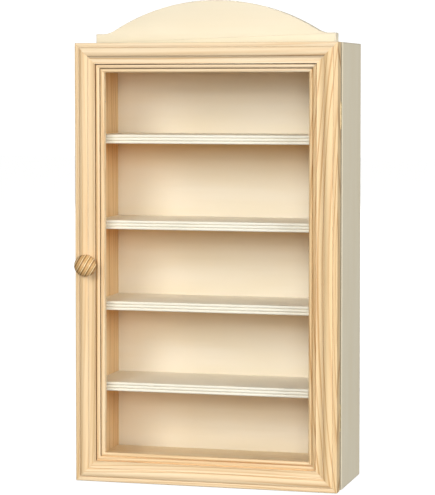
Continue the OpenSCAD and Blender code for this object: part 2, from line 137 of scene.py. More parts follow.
def rowShade(add, place):
    # 0 at a row's floor and 1 under its ceiling, from the height of the point
    height = add("SeparateXYZ", links={0: place}).outputs["Z"]
    share = add("Math", {"operation": "DIVIDE", 1: float(ceiling) * mm}, {0: height})
    stops = []
    for low, high in zip(rowFloors, rowCeilings):
        for part, grey in ((0.0, 0.0), (0.35, 0.06), (0.6, 0.2), (0.82, 0.5), (1.0, 1.0)):
            stops.append((float((low + part * (high - low)) / ceiling), grey))
    return add("ValToRGB", {"stops": stops}, {0: share})


# Turns that bring the long direction of a piece onto Z, where fibres and brush strokes run
longTurn = {"X": (0.0, -math.pi / 2, 0.0), "Z": (0.0, 0.0, 0.0)}

pineLook = {
    "bow": 0.0, "lean": 0.0, "waverLength": 110, "soft": 0.3, "faintest": 0.25, "fibre": 0.14,
    # On the next line, the first colour is painted shade for grooves, and the second paints arrises paler,
    # partly worn and partly as a painted highlight
    "rough": 0.5, "grooveShade": "#8f6c42", "rubbedAndLit": "#fff3d8", "wearAndLight": 0.45, "seed": 0.0,
}


def pineMaterial(name, piece):
    # Scots pine, planed and given a thin clear satin lacquer: pale early wood, thin honey coloured late wood
    # lines with one soft and one crisp side, and fine fibres along the grain. The quirks of the moulding are
    # darkened with painted shade, and its arrises are painted paler, partly worn and partly as a painted
    # highlight.
    look = {**pineLook, **piece}
    material, tree, shader = newMaterial(name, {"IOR": 1.5, "Specular IOR Level": 0.35})
    add = partial(addNode, tree)
    seed = look["seed"]
    place = add("TexCoord").outputs["Object"]
    # The piece is turned so that its grain runs along Z, and moved so that the pith is at X = Y = 0
    wood = add("Mapping", {
        "Scale": (1 / mm,) * 3, "Rotation": longTurn[look["along"]], "Location": look["pith"],
    }, {"Vector": place})
    # Year rings lie about the pith, bow and lean along the board, and waver where a branch was near
    flat = add("VectorMath", {"operation": "MULTIPLY", 1: (1, 1, 0)}, {0: wood})
    radius = add("VectorMath", {"operation": "LENGTH"}, {0: flat})
    along = add("SeparateXYZ", links={0: wood}).outputs["Z"]
    square = add("Math", {"operation": "MULTIPLY"}, {0: along, 1: along})
    bowed = add("Math", {"operation": "MULTIPLY_ADD", 1: look["bow"]}, {0: square, 2: radius})
    leaning = add("Math", {"operation": "MULTIPLY_ADD", 1: look["lean"]}, {0: along, 2: bowed})
    sway = add("TexNoise", {"Scale": 1.0, "Detail": 2.5, "Roughness": 0.45}, {"Vector": add("Mapping", {
        "Scale": (1 / 16, 1 / 16, 1 / look["waverLength"]), "Location": (seed, 0.7 * seed, 1.3 * seed),
    }, {"Vector": wood})})
    reach = add("Math", {"operation": "MULTIPLY_ADD", 1: look["waver"]}, {0: sway, 2: leaning})
    evenRing = add("Math", {"operation": "DIVIDE", 1: look["ring"]}, {0: reach})
    # Some years are wider than others, and some have more late wood
    years = add("TexNoise", {"noise_dimensions": "1D", "Scale": 0.6, "Detail": 0.0}, {"W": evenRing})
    ring = add("Math", {"operation": "MULTIPLY_ADD", 1: 1.1}, {0: years, 2: evenRing})
    share = add("Math", {"operation": "FRACT"}, {0: ring})
    rising = (look["soft"] + 0.84) / 2
    late = add("ValToRGB", {"stops": [
        (0.0, 0.3), (0.07, 0.0), (look["soft"], 0.0), (rising, 0.35), (0.84, 1.0), (0.93, 1.0), (1.0, 0.3),
    ]}, {0: share})
    yearShift = add("Math", {"operation": "ADD", 1: 7.3 + seed}, {0: ring})
    yearTone = add("TexNoise", {"noise_dimensions": "1D", "Scale": 0.83, "Detail": 1.0}, {"W": yearShift})
    yearStrength = add("MapRange", {
        "From Min": 0.3, "From Max": 0.68, "To Min": look["faintest"], "To Max": 1.0,
    }, {0: yearTone})
    # Late wood also fades and returns along a line
    fading = add("TexNoise", {"Scale": 1.0, "Detail": 1.0}, {"Vector": add("Mapping", {
        "Scale": (1 / 7, 1 / 7, 1 / 60), "Location": (3.1 + seed, seed, 0),
    }, {"Vector": wood})})
    patch = add("MapRange", {"From Min": 0.3, "From Max": 0.65, "To Min": 0.45, "To Max": 1.0}, {0: fading})
    shown = add("Math", {"operation": "MULTIPLY"}, {0: yearStrength, 1: patch})
    line = add("Math", {"operation": "MULTIPLY"}, {0: late, 1: shown})
    fibre = add("TexNoise", {"Scale": 1.0, "Detail": 3.0, "Roughness": 0.6}, {"Vector": add("Mapping", {
        "Scale": (1.9, 1.9, 0.03), "Location": (5.7 + seed, seed, 0),
    }, {"Vector": wood})})
    cloud = add("TexNoise", {"Scale": 1.0, "Detail": 2.0}, {"Vector": add("Mapping", {
        "Scale": (1 / 11, 1 / 11, 1 / 140), "Location": (9.2 + seed, seed, 0),
    }, {"Vector": wood})})
    tone = add("MapRange", {"From Min": 0.3, "From Max": 0.7}, {0: cloud})
    early = add("Mix", {"data_type": "RGBA", 6: look["early"], 7: look["earlyWarm"]}, {0: tone})
    grained = add("Mix", {"data_type": "RGBA", 7: look["late"]}, {0: line, 6: early})
    streak = add("ValToRGB", {"stops": [(0.25, "#b98f55"), (0.75, "#ffffff")]}, {0: fibre})
    colour = add("Mix", {"data_type": "RGBA", "blend_type": "SOFT_LIGHT", 0: look["fibre"]},
                 {6: grained, 7: streak})
    if "shadeUnderShelf" in look:
        # Painted shade: the bare wood is painted darker and more orange the higher a point stands in its row,
        # towards the shelf or top board above
        colour = add("Mix", {"data_type": "RGBA", "blend_type": "MULTIPLY", 7: look["shadeUnderShelf"]},
                     {0: rowShade(add, place), 6: colour})
    # Painted shade darkens the grooves and quirks
    shadedGroove = add("Attribute", {"attribute_name": "groove"}).outputs["Fac"]
    rubbedAndLit = add("Attribute", {"attribute_name": "arris"}).outputs["Fac"]
    colour = add("Mix", {"data_type": "RGBA", "blend_type": "MULTIPLY", 7: look["grooveShade"]},
                 {0: shadedGroove, 6: colour})
    # The arrises are painted paler, partly worn and partly as a painted highlight
    paler = add("Math", {"operation": "MULTIPLY", 1: look["wearAndLight"]}, {0: rubbedAndLit})
    colour = add("Mix", {"data_type": "RGBA", 7: look["rubbedAndLit"]}, {0: paler, 6: colour})
    # Lacquer is a little duller over the soft early wood
    gloss = add("MapRange", {"To Min": look["rough"], "To Max": look["rough"] - 0.08}, {0: line})
    relief = add("Math", {"operation": "MULTIPLY_ADD", 1: 1.5}, {0: line, 2: fibre})
    bump = add("Bump", {"Strength": 0.3, "Distance": 0.03 * mm}, {"Height": relief})
    feed(tree, shader, {"Base Color": colour, "Roughness": gloss, "Normal": bump})
    return material


# On the next line, the first colour is painted shade for inner corners and grooves, and the second is greyer
# for worn arrises
paintLook = {"rough": 0.42, "telegraph": 0.12, "grooveShade": "#a5906c", "rubbedAndLit": "#cfc5b0", "wearAndLight": 0.5}


def paintMaterial(name, piece):
    # Cream satin paint on wood, laid on with a small brush: even colour, faint strokes, the grain nearly
    # hidden, greyer where hands have worn its arrises, and darkened with painted shade in its inner corners
    # and grooves
    look = {**paintLook, **piece}
    material, tree, shader = newMaterial(name, {"IOR": 1.5, "Specular IOR Level": 0.3})
    add = partial(addNode, tree)
    seed = look["seed"]
    place = add("TexCoord").outputs["Object"]
    paint = add("Mapping", {"Scale": (1 / mm,) * 3, "Rotation": longTurn[look["strokes"]]}, {"Vector": place})
    cloud = add("TexNoise", {"Scale": 1.0, "Detail": 2.0}, {"Vector": add("Mapping", {
        "Scale": (1 / 14, 1 / 14, 1 / 55), "Location": (seed, 0.7 * seed, 0),
    }, {"Vector": paint})})
    stroke = add("TexNoise", {"Scale": 1.0, "Detail": 3.0, "Roughness": 0.6}, {"Vector": add("Mapping", {
        "Scale": (1.4, 1.4, 0.05), "Location": (2.2 + seed, seed, 0),
    }, {"Vector": paint})})
    grain = add("TexNoise", {"Scale": 1.0, "Detail": 2.0}, {"Vector": add("Mapping", {
        "Scale": (0.5, 0.5, 0.008), "Location": (6.1 + seed, seed, 0),
    }, {"Vector": paint})})
    tone = add("MapRange", {"From Min": 0.3, "From Max": 0.7}, {0: cloud})
    colour = add("Mix", {"data_type": "RGBA", 6: look["colour"], 7: look["cloud"]}, {0: tone})
    thin = add("MapRange", {"From Min": 0.45, "From Max": 0.75, "To Max": look["telegraph"]}, {0: grain})
    colour = add("Mix", {"data_type": "RGBA", 7: look["under"]}, {0: thin, 6: colour})
    if "shadeUnderShelf" in look:
        # Painted shade: the paint is painted darker and warmer the higher a point stands in its row, towards
        # the shelf or top board above
        colour = add("Mix", {"data_type": "RGBA", "blend_type": "MULTIPLY", 7: look["shadeUnderShelf"]},
                     {0: rowShade(add, place), 6: colour})
    if "bareBehind" in look:
        # The panel's back was never painted
        depth = add("SeparateXYZ", links={0: place}).outputs["Y"]
        behind = add("Math", {"operation": "GREATER_THAN", 1: look["bareBehind"] * mm}, {0: depth})
        board = add("ValToRGB", {"stops": [(0.35, "#c9a878"), (0.65, "#b58f5d")]}, {0: grain})
        colour = add("Mix", {"data_type": "RGBA"}, {0: behind, 6: colour, 7: board})
    # Painted shade darkens the inner corners and grooves
    shadedGroove = add("Attribute", {"attribute_name": "groove"}).outputs["Fac"]
    rubbedAndLit = add("Attribute", {"attribute_name": "arris"}).outputs["Fac"]
    colour = add("Mix", {"data_type": "RGBA", "blend_type": "MULTIPLY", 7: look["grooveShade"]},
                 {0: shadedGroove, 6: colour})
    worn = add("Math", {"operation": "MULTIPLY", 1: look["wearAndLight"]}, {0: rubbedAndLit})
    colour = add("Mix", {"data_type": "RGBA", 7: look["rubbedAndLit"]}, {0: worn, 6: colour})
    gloss = add("MapRange", {
        "From Min": 0.3, "From Max": 0.7, "To Min": look["rough"], "To Max": look["rough"] + 0.08,
    }, {0: stroke})
    bump = add("Bump", {"Strength": 0.25, "Distance": 0.04 * mm}, {"Height": stroke})
    feed(tree, shader, {"Base Color": colour, "Roughness": gloss, "Normal": bump})
    return material


# Surfaces worked out as whole arrays

creaseAngle = 34     # faces that meet at more degrees than this keep a crisp edge
cornerAngle = 25     # where an outline turns by more than this, its corner is rounded
markAngle = 14       # where it turns by more than this in one point, an arris is marked for wearing and painted highlight, a groove for painted shade


def arcThrough(a, b, rise, steps):
    # The circle's arc from a to b whose middle stands rise to the left of the chord
    a, b = np.array(a, float), np.array(b, float)
    half = np.linalg.norm(b - a) / 2
    along = (b - a) / (2 * half)
    out = np.array([-along[1], along[0]]) * np.sign(rise)
    high = abs(rise)
    radius = (half ** 2 + high ** 2) / (2 * high)
    swing = math.asin(half / radius)
    t = np.linspace(-swing, swing, steps + 1)[:, None]
    return (a + b) / 2 + out * (high - radius) + radius * (out * np.cos(t) + along * np.sin(t))


def arcAbout(centre, radius, start, end, steps):
    # The circle's arc round a centre, between two angles in degrees
    t = np.radians(np.linspace(start, end, steps + 1))
    return np.array(centre) + radius * np.stack([np.cos(t), np.sin(t)], -1)


def softenCorners(outline, reach, steps=4):
    # Each corner sharper than cornerAngle becomes a parabola that leaves its two sides at reach from it
    outline = outline[np.linalg.norm(np.roll(outline, 1, 0) - outline, axis=1) > 1e-6]
    before, after = np.roll(outline, 1, 0) - outline, np.roll(outline, -1, 0) - outline
    lengthBefore = np.linalg.norm(before, axis=1, keepdims=True)
    lengthAfter = np.linalg.norm(after, axis=1, keepdims=True)
    turn = np.arccos(np.clip(-(before * after).sum(1) / (lengthBefore * lengthAfter)[:, 0], -1, 1))
    cut = np.minimum(reach, 0.45 * np.minimum(lengthBefore, lengthAfter))
    a, b = outline + before / lengthBefore * cut, outline + after / lengthAfter * cut
    s = np.linspace(0, 1, steps + 1)[None, :, None]
    curve = (1 - s) ** 2 * a[:, None] + 2 * s * (1 - s) * outline[:, None] + s ** 2 * b[:, None]
    sharp = turn > math.radians(cornerAngle)
    curve[~sharp] = outline[~sharp][:, None]
    keep = np.repeat(sharp[:, None], steps + 1, 1)
    keep[:, 0] = True
    return curve[keep]


def addStops(outline, reach):
    # Two more points on each long side, reach from its ends, so that a mark on a corner ends there
    after = np.roll(outline, -1, 0) - outline
    length = np.linalg.norm(after, axis=1, keepdims=True)
    step = after / length * reach
    trio = np.stack([outline, outline + step, outline + after - step], 1)
    keep = np.repeat(length > 2.2 * reach, 3, 1)
    keep[:, 0] = True
    return trio[keep]


def enclosed(outline):
    # Area inside the outline, positive where it runs against the clock
    ahead = np.roll(outline, -1, 0)
    return np.sum(outline[:, 0] * ahead[:, 1] - outline[:, 1] * ahead[:, 0]) / 2


def drawnIn(outline, depth):
    # The outline moved inwards by depth, corner by corner, along the line that keeps both sides parallel
    after = np.roll(outline, -1, 0) - outline
    normal = np.stack([after[:, 1], -after[:, 0]], -1) * np.sign(enclosed(outline))
    normal /= np.linalg.norm(normal, axis=1, keepdims=True)
    earlier = np.roll(normal, 1, 0)
    shift = (normal + earlier) / np.maximum(1 + (normal * earlier).sum(1, keepdims=True), 0.4)
    return outline - depth * shift


def cornerMarks(outline, look):
    # How near each point of an outline is to an outward corner and to an inward one, 1 on it and 0 at reach:
    # corners are where the outline turns by more than markAngle in one point
    before, after = outline - np.roll(outline, 1, 0), np.roll(outline, -1, 0) - outline
    cross = before[:, 0] * after[:, 1] - before[:, 1] * after[:, 0]
    turn = np.degrees(np.arctan2(cross, (before * after).sum(1))) * np.sign(enclosed(outline))
    marks = {}
    for name, corner in (("arris", turn > markAngle), ("groove", turn < -markAngle)):
        spots = np.concatenate([outline[corner], np.reshape(look.get(name + "Spots", []), (-1, 2))])
        if len(spots):
            gap = np.linalg.norm(outline[:, None] - spots[None], axis=2).min(1)
            marks[name] = np.clip(1 - gap / look[name + "Reach"], 0, 1)
        else:
            marks[name] = np.zeros(len(outline))
    if "grooveShare" in look:
        # Some grooves get less painted shade than others: a share for each place across the section
        marks["groove"] = marks["groove"] * np.interp(outline[:, 0], *look["grooveShare"])
    return marks


def finishMesh(name, points, faceSets, materials, marks=None):
    # Turns every face outwards by the sign of the enclosed volume, then fills the mesh
    volume = sum(
        np.einsum("ij,ij->", points[f[:, 0]], np.cross(points[f[:, i]], points[f[:, i + 1]]))
        for f in faceSets for i in range(1, f.shape[1] - 1)
    )
    if volume < 0:
        faceSets = [f[:, ::-1] for f in faceSets]
    mesh = bpy.data.meshes.new(name)
    mesh.from_pydata((points * mm).tolist(), [], [face for f in faceSets for face in f.tolist()])
    for material in materials:
        mesh.materials.append(material)
    for mark, values in (marks or {}).items():
        mesh.attributes.new(mark, "FLOAT", "POINT").data.foreach_set("value", values.astype(np.float32))
    mesh.polygons.foreach_set("use_smooth", np.ones(len(mesh.polygons), bool))
    mesh.set_sharp_from_angle(angle=math.radians(creaseAngle))
    mesh.validate()
    piece = bpy.data.objects.new(name, mesh)
    bpy.context.scene.collection.objects.link(piece)
    return piece


def carrySection(name, section, start, end, look, place, materials, leans=(0.0, 0.0)):
    # A closed section carried in a straight line: row k is the section drawn in by arris times one less the
    # sine of its angle and moved on by arris times one less the cosine, so that the ends have rounded arrises
    # too. One more row at each end stops the mark that the ends of a square cut board get.
    arris, stop = look.get("endArris", look["arris"]), look["arrisReach"]
    turn = np.linspace(0, math.pi / 2, 5)
    inset = np.append(arris * (1 - np.sin(turn)), 0)
    advance = np.append(arris * (1 - np.cos(turn)), arris + stop)
    rings = [drawnIn(section, d) for d in inset]
    rows = [place(r[:, 0], r[:, 1], start + leans[0] * r[:, 0] + a) for r, a in zip(rings, advance)]
    back = zip(rings[::-1], advance[::-1])
    rows += [place(r[:, 0], r[:, 1], end + leans[1] * r[:, 0] - a) for r, a in back]
    n, rowCount = len(section), len(rows)
    marks = {k: np.tile(v, (rowCount, 1)) for k, v in cornerMarks(section, look).items()}
    if not any(leans):
        near = 1 - advance / advance[-1]
        marks["arris"] = np.maximum(marks["arris"], np.append(near, near[::-1])[:, None])
    i = np.arange(n)
    k = np.arange(rowCount - 1)[:, None] * n
    quads = np.stack([k + i, k + (i + 1) % n, k + n + (i + 1) % n, k + n + i], -1).reshape(-1, 4)
    caps = [i[None, ::-1], i[None] + (rowCount - 1) * n]
    return finishMesh(name, np.concatenate(rows), [quads, *caps], materials,
                      {k: v.ravel() for k, v in marks.items()})


def ringFaces(rings, segments):
    # Quads between rings of points that follow each other, and the fans that close the first and last ring
    i = np.arange(segments)
    ahead = (i + 1) % segments
    k = np.arange(rings - 1)[:, None] * segments
    quads = np.stack([k + i, k + ahead, k + segments + ahead, k + segments + i], -1).reshape(-1, 4)
    last = (rings - 1) * segments
    count = rings * segments
    firstFan = np.stack([np.full(segments, count), ahead, i], -1)
    lastFan = np.stack([np.full(segments, count + 1), last + i, last + ahead], -1)
    return [quads, firstFan, lastFan]


def turnedForm(name, profile, centre, segments, materials):
    # A profile of radius and height turned round an axis along -Y through centre, its two ends on the axis
    angle = np.linspace(0, 2 * math.pi, segments, endpoint=False)
    inner = profile[1:-1]
    ring = np.stack([inner[:, None, 0] * np.cos(angle), np.repeat(-inner[:, None, 1], segments, 1),
                     inner[:, None, 0] * np.sin(angle)], -1).reshape(-1, 3)
    ends = np.array([[0, -profile[0, 1], 0], [0, -profile[-1, 1], 0]])
    return finishMesh(name, np.concatenate([ring, ends]) + centre, ringFaces(len(inner), segments), materials)


def settle(piece, body, slot, *nodes):
    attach(piece, body)
    if nodes:
        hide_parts(*nodes)
    return piece


# Door: four lengths of one moulding, mitred, with a fine open line where two of them meet

moulding = {
    "chamfer": 2.5, "edgeRadius": 0.8,
    "fillet": 2.6, "crown": 6.0, "hollow": 4.2, "bead": 2.6,
    "thickness": 12.3, "filletDrop": 1.1, "hollowDrop": 1.1, "hollowDip": 0.45,
    "beadDrop": 3.0, "beadStep": 0.8, "beadRise": 0.8,
    "quirk": 0.3, "quirkDepth": 0.4,     # the narrow groove that the cutter leaves at each step
    "rebate": 5.0, "rebateDepth": 6.3,
    "back": 0.05,        # the wood's back lies this much under the nails and screws that are flush in it
    "arris": 0.14, "endArris": 0.04, "mitreGap": 0.01, "arrisReach": 0.35, "grooveReach": 0.42,
}
hollowStart = moulding["fillet"] + moulding["crown"]
grooveAt = [moulding["fillet"], hollowStart, hollowStart + moulding["hollow"]]
# How much painted shade the grooves at these places get on each member, the fillet's first and the beads'
# last
groovesTop = {"grooveReach": 1.3, "grooveShare": (grooveAt, [0.25, 0.7, 1.0])}
groovesLeft = {"grooveReach": 0.9, "grooveShare": (grooveAt, [0.25, 0.3, 1.0])}
groovesRight = {"grooveShare": (grooveAt, [0.5, 0.4, 0.0])}
groovesBottom = {"grooveShare": (grooveAt, [0.6, 0.5, 0.0])}
# In each member's wood below, the colour on its last line is painted shade for its grooves
stileLeftWood = {
    "along": "Z", "pith": (132.0, 18.0, -190.0), "bow": 0.00012, "lean": 0.004, "ring": 1.9, "waver": 3.0,
    "early": "#f0d8b3", "earlyWarm": "#e9c99b", "late": "#d4ab78", "faintest": 0.12, "seed": 1.0,
    "grooveShade": "#7a552c",
}
stileRightWood = {
    "along": "Z", "pith": (-20.0, 26.0, -132.0), "bow": -0.0005, "ring": 2.9, "waver": 1.4,
    "early": "#efd4a8", "earlyWarm": "#e9c999", "late": "#b98850", "faintest": 0.6, "soft": 0.6, "seed": 4.0,
    "grooveShade": "#c9ad86",
}
railTopWood = {
    "along": "X", "pith": (330.0, 22.0, 30.0), "bow": 0.00015, "ring": 2.4, "waver": 2.6,
    "early": "#f3e2c6", "earlyWarm": "#efd5ae", "late": "#d9b283", "faintest": 0.1, "seed": 7.0,
    "grooveShade": "#654318",
}
railBottomWood = {
    "along": "X", "pith": (46.0, 30.0, -20.0), "bow": -0.0002, "ring": 2.1, "waver": 2.4,
    "early": "#f8e1bd", "earlyWarm": "#f2d3a6", "late": "#d0a370", "faintest": 0.35, "seed": 2.6,
    "grooveShade": "#d9c19a",
}


def mouldingSection(m):
    # x runs from the outer edge towards the glass, and the height runs from the back to the front
    filletY, hollowY, beadY = (m["thickness"] - m[k] for k in ("filletDrop", "hollowDrop", "beadDrop"))
    q, deep = m["quirk"], m["quirkDepth"]
    hollowX = m["fillet"] + m["crown"]
    beadX = hollowX + m["hollow"]
    secondX, secondY = beadX + m["bead"], beadY - m["beadStep"]
    lastX = secondX + m["bead"]
    rebateX = lastX - m["rebate"]
    r = m["edgeRadius"]
    outline = np.concatenate([
        [[m["chamfer"], m["back"]], [0, m["chamfer"]]],
        arcAbout((r, filletY - r), r, 180, 90, 10),
        [[m["fillet"], filletY], [m["fillet"] + q / 2, filletY - deep]],
        arcThrough((m["fillet"] + q, filletY), (hollowX - q, hollowY), m["hollowDrop"], 28),
        [[hollowX - q / 2, hollowY - deep]],
        arcThrough((hollowX, hollowY), (beadX, hollowY), -m["hollowDip"], 18),
        [[beadX, beadY - deep], [beadX + 0.7 * q, beadY - deep]],
        arcThrough((beadX + q, beadY), (secondX, beadY), m["beadRise"], 18),
        [[secondX, secondY - deep], [secondX + 0.7 * q, secondY - deep]],
        arcThrough((secondX + q, secondY), (lastX, secondY), m["beadRise"], 18),
        [[lastX, m["rebateDepth"]], [rebateX, m["rebateDepth"]], [rebateX, m["back"]]],
    ])
    return addStops(softenCorners(outline, m["arris"]), m["arrisReach"])


def doorMember(name, side, node, wood, grooves):
    # The section carried along one side of the frame; both ends lean in by as much as a point lies from the
    # outer edge, which cuts the mitres
    back = doorHigh[1]

    def place(x, h, t):
        if side == "left":
            return np.stack([doorLow[0] + x, back - h, doorLow[2] + t], -1)
        if side == "right":
            return np.stack([doorHigh[0] - x, back - h, doorLow[2] + t], -1)
        if side == "bottom":
            return np.stack([doorLow[0] + t, back - h, doorLow[2] + x], -1)
        return np.stack([doorLow[0] + t, back - h, doorHigh[2] - x], -1)

    upright = side in ("left", "right")
    length = doorHigh[2] - doorLow[2] if upright else doorHigh[0] - doorLow[0]
    gap = moulding["mitreGap"]
    piece = carrySection(name, mouldingSection(moulding), gap, length - gap, {**moulding, **grooves}, place,
                         [pineMaterial("pine" + name[0].upper() + name[1:], wood)], (1.0, -1.0))
    return settle(piece, "door", "pine", node)


doorMember("stileLeft", "left", "door_stile_left", stileLeftWood, groovesLeft)
doorMember("stileRight", "right", "door_stile_right", stileRightWood, groovesRight)
doorMember("railTop", "top", "door_rail_top", railTopWood, groovesTop)
doorMember("railBottom", "bottom", "door_rail_bottom", railBottomWood, groovesBottom)
print("stage: door moulding")


# Knob: a turned ball of coarse pine, whose late wood shows as strong stripes across it

knobLook = {"rows": 40, "segments": 96, "seat": 6.0}
knobWood = {
    "ring": 2.78, "shift": 0.1, "stripe": (0.836, 0.227, -0.5), "waver": 0.5, "even": "#c1935a",
    "stops": [
        (0.0, "#7d5426"), (0.07, "#8f6433"), (0.17, "#d9ad72"), (0.38, "#e9c590"), (0.52, "#dcb37a"),
        (0.6, "#b98a50"), (0.67, "#e6c08a"), (0.76, "#fff0c4"), (0.85, "#fbe2b0"), (0.94, "#8f6433"),
        (1.0, "#7d5426"),
    ],
}


def knobMaterial(name, look):
    # Turned pine under lacquer: the year rings are flat sheets through the ball, each with a pale side, a
    # thin line of a dry summer, and a dark narrow line of late wood
    material, tree, shader = newMaterial(name, {"IOR": 1.5, "Specular IOR Level": 0.4, "Roughness": 0.42})
    add = partial(addNode, tree)
    place = add("TexCoord").outputs["Object"]
    wood = add("Mapping", {"Scale": (1 / mm,) * 3}, {"Vector": place})
    across = add("VectorMath", {"operation": "DOT_PRODUCT", 1: look["stripe"]}, {0: wood})
    sway = add("TexNoise", {"Scale": 0.16, "Detail": 1.5}, {"Vector": wood})
    reach = add("Math", {"operation": "MULTIPLY_ADD", 1: look["waver"]}, {0: sway, 2: across})
    rings = add("Math", {"operation": "MULTIPLY_ADD", 1: 1 / look["ring"], 2: look["shift"]}, {0: reach})
    share = add("Math", {"operation": "FRACT"}, {0: rings})
    banded = add("ValToRGB", {"stops": look["stops"]}, {0: share})
    fibre = add("TexNoise", {"Scale": 1.6, "Detail": 2.0}, {"Vector": wood})
    even = add("MapRange", {"From Min": 0.35, "From Max": 0.75, "To Min": 0.12, "To Max": 0.5}, {0: fibre})
    colour = add("Mix", {"data_type": "RGBA", 7: look["even"]}, {0: even, 6: banded})
    bump = add("Bump", {"Strength": 0.3, "Distance": 0.05 * mm}, {"Height": fibre})
    feed(tree, shader, {"Base Color": colour, "Normal": bump})
    return material


knobLow, knobHigh = nodeBox("knob")
knobRadius = (knobHigh[0] - knobLow[0]) / 2
knobCentre = np.array([(knobLow[0] + knobHigh[0]) / 2, knobHigh[1], (knobLow[2] + knobHigh[2]) / 2])
seatRadius = knobLook["seat"] / 2
ballOut = math.sqrt(knobRadius ** 2 - seatRadius ** 2)
seatAngle = -math.degrees(math.acos(seatRadius / knobRadius))
ball = arcAbout((0, ballOut), knobRadius, seatAngle, 90, knobLook["rows"])
ball[-1, 0] = 0
knobProfile = np.concatenate([[[0, 0]], ball])
knobPine = knobMaterial("pineKnob", knobWood)
knob = turnedForm("turnedKnob", knobProfile, knobCentre, knobLook["segments"], [knobPine])
settle(knob, "door", "knob_wood", "knob")
print("stage: knob")


# Case: two sides, painted outside and left natural inside, with top and base boards between them

paintOutside = {
    "strokes": "Z", "colour": "#f3ead2", "cloud": "#f0e5ca", "under": "#e3d5b2", "seed": 1.5,
    # On the next line, the first colour is painted shade for the seam and inner corners, and the second is
    # greyer for worn arrises
    "grooveShade": "#7d6d53", "rubbedAndLit": "#bdb29b", "wearAndLight": 0.7,
}
paintCrest = {
    "strokes": "X", "colour": "#fbf3dc", "cloud": "#f8eed4", "under": "#efe3c4", "seed": 8.0,
}
paintShelf = {
    "strokes": "X", "colour": "#fefaf0", "cloud": "#fdf7ea", "under": "#f6eedb",
    # The colour on the next line is painted shade between the reeds
    "grooveShade": "#c2b08c", "wearAndLight": 0.05,
}
paintPanel = {
    "strokes": "X", "colour": "#f5ecdd", "cloud": "#f2e7d3", "under": "#eadcc2", "seed": 5.0,
    # The first colour on the next line is painted shade, darker and warmer towards the shelf above each row
    "shadeUnderShelf": "#eabf84", "bareBehind": float(panelHigh[1]) - 0.2,
}
pineInside = {
    "along": "Z", "pith": (160.0, 40.0, -100.0), "bow": 0.0001, "ring": 2.6, "waver": 3.0,
    # The last colour on the next line is painted shade, darker and more orange towards the shelf above each
    # row
    "early": "#ebcb9e", "earlyWarm": "#e5bd89", "late": "#c4935a", "seed": 6.0, "shadeUnderShelf": "#e9be86",
}
pineBoards = {
    "along": "X", "pith": (40.0, 60.0, 20.0), "bow": 0.0002, "ring": 2.6, "waver": 3.6,
    "early": "#fdeed2", "earlyWarm": "#fae4c2", "late": "#e0bd8c", "seed": 3.3,
}
caseLook = {
    "chamfer": 2.5, "rebate": 3.5, "arris": 0.3, "arrisReach": 0.6, "grooveReach": 0.6,
    "seamAt": 1.6,       # painted shade darkens the seam beside the door, this deep behind the case's front
    "proud": 0.04,       # boards stand this much over the nail heads that are flush in them
    "onFace": 0.02,      # a face whose middle is this near the inner plane is bare wood
}

creamOutside = paintMaterial("paintOutside", paintOutside)
naturalInside = pineMaterial("pineInside", pineInside)
naturalBoards = pineMaterial("pineBoards", pineBoards)


def sideBoard(name, hand, node):
    # The board's plan, chamfered in front and rebated behind for the panel, carried upwards; its faces on the
    # inner plane are bare wood
    low, high = nodeBox(node)
    width, depth = high[0] - low[0], high[1] - low[1]
    outerX = max(abs(low[0]), abs(high[0]))
    panel = high[1] - panelLow[1]
    chamfer, rebate = caseLook["chamfer"], caseLook["rebate"]
    seam = [chamfer - caseLook["seamAt"], caseLook["seamAt"]]
    plan = np.array([
        seam, [chamfer, 0], [width, 0], [width, depth - panel], [width - rebate, depth - panel],
        [width - rebate, depth], [0, depth], [0, chamfer],
    ])
    plan = addStops(softenCorners(plan, caseLook["arris"]), caseLook["arrisReach"])

    def place(u, v, t):
        return np.stack([hand * (outerX - u), low[1] + v, t], -1)

    piece = carrySection(name, plan, low[2], high[2], {**caseLook, "grooveSpots": [seam]}, place,
                         [creamOutside, naturalInside])
    mesh = piece.data
    centres = np.zeros(len(mesh.polygons) * 3)
    mesh.polygons.foreach_get("center", centres)
    inside = np.abs(np.abs(centres.reshape(-1, 3)[:, 0] / mm) - abs(innerX)) < caseLook["onFace"]
    mesh.polygons.foreach_set("material_index", inside.astype(int))
    return settle(piece, "case", "painted_wood", node)


sideBoard("sideLeft", -1, "case_side_left")
sideBoard("sideRight", 1, "case_side_right")


def placeAcross(y, z, t):
    # A section of depth and height, carried from left to right
    return np.stack([t, y, z], -1)


def flatBoard(name, node, materials, slot, lift):
    # A plain board: its rectangle of depth and height, with rounded arrises, carried along its length
    low, high = nodeBox(node)
    front, top = low[1] - caseLook["proud"], high[2] + lift
    section = np.array([[front, low[2]], [high[1], low[2]], [high[1], top], [front, top]])
    section = addStops(softenCorners(section, caseLook["arris"]), caseLook["arrisReach"])
    piece = carrySection(name, section, low[0], high[0], caseLook, placeAcross, materials)
    return settle(piece, "case", slot, node)


top = flatBoard("topBoard", "case_top", [naturalBoards, creamOutside], "pine", caseLook["proud"])
up = np.zeros(len(top.data.polygons) * 3)
top.data.polygons.foreach_get("normal", up)
top.data.polygons.foreach_set("material_index", (up.reshape(-1, 3)[:, 2] > 0.5).astype(int))
flatBoard("baseBoard", "case_bottom", [naturalBoards], "pine", caseLook["proud"])
print("stage: case")


# Shelves: painted, with three reeds along the front edge

shelfLook = {
    "reeds": 3, "depth": 0.6, "quirk": 0.16, "quirkDepth": 0.3,
    "arris": 0.08, "arrisReach": 0.3, "grooveReach": 0.34,
}


